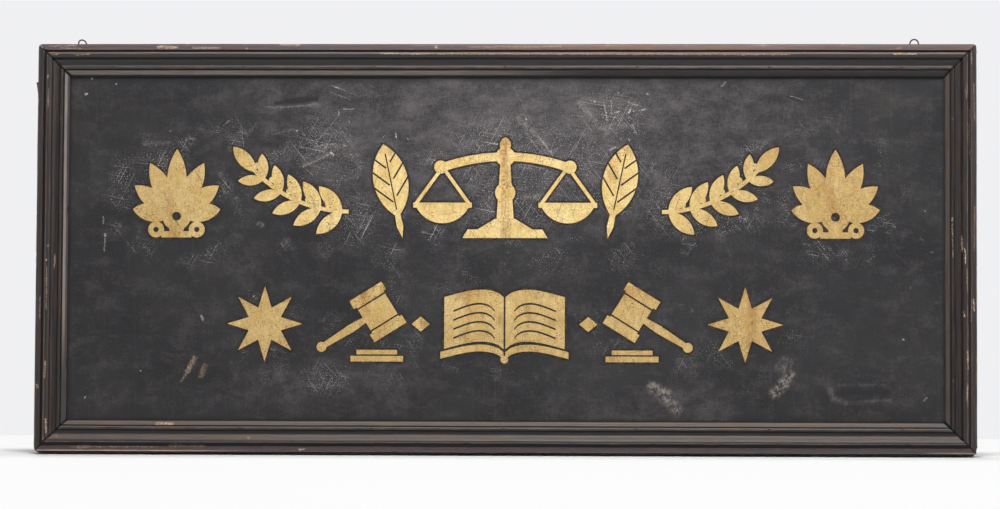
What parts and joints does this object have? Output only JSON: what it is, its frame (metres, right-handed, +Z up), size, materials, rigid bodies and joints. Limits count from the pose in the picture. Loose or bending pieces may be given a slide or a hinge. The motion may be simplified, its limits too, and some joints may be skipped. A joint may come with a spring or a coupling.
{
  "type": "framed trade sign",
  "caption": "Wide black sheet-metal trade sign with gilded ornament in a mitred moulding, on a wooden strainer with screw eyes to hang it by.",
  "frame": {"origin": "middle of the strainer's bottom edge: halfway along the sign, at the strainer's mid-thickness, on the surface the sign stands on", "axes": "+Z up, +X along the sign to the reader's right, +Y out of its back; the painted face looks along -Y"},
  "size_m": [1.5313, 0.0426, 0.6754],
  "materials": {
    "old_pine": "bare, aged and dusty",
    "painted_moulding": "black paint worn to brown wood on the arrises",
    "painted_sheet": "worn satin black paint",
    "outline_paint": "flat black",
    "gold_leaf": "aged, speckled leaf",
    "rusty_iron": "rusty",
    "screw_steel": "dull and stained",
    "eye_wire": "dull, with brown stains"
  },
  "bodies": {
    "sign": {"strainer_bottom_rail": "old_pine", "strainer_top_rail": "old_pine", "strainer_left_stile": "old_pine", "strainer_right_stile": "old_pine", "strainer_left_upright": "old_pine", "strainer_right_upright": "old_pine", "lap_screws": "screw_steel", "face_sheet": "painted_sheet", "sheet_tacks": "rusty_iron", "moulding_bottom": "painted_moulding", "moulding_top": "painted_moulding", "moulding_left": "painted_moulding", "moulding_right": "painted_moulding", "moulding_nails": "rusty_iron", "mitre_nails": "rusty_iron", "bent_nail": "rusty_iron", "ornament_outline": "outline_paint", "gilt_balance": "gold_leaf", "gilt_quills": "gold_leaf", "gilt_laurels": "gold_leaf", "gilt_palmettes": "gold_leaf", "gilt_book": "gold_leaf", "gilt_gavels": "gold_leaf", "gilt_stars": "gold_leaf", "gilt_lozenges": "gold_leaf"},
    "left_eye": {"screw_eye_left": "eye_wire"},
    "right_eye": {"screw_eye_right": "eye_wire"}
  },
  "joints": [
    {"name": "left_eye_turn", "type": "hinge", "parent": "sign", "child": "left_eye", "pos_m": [-0.692, 0, 0.659], "axis": [0, 0, 1], "range_deg": [-90, 90]},
    {"name": "right_eye_turn", "type": "hinge", "parent": "sign", "child": "right_eye", "pos_m": [0.662, 0, 0.659], "axis": [0, 0, 1], "range_deg": [-90, 90]}
  ]
}
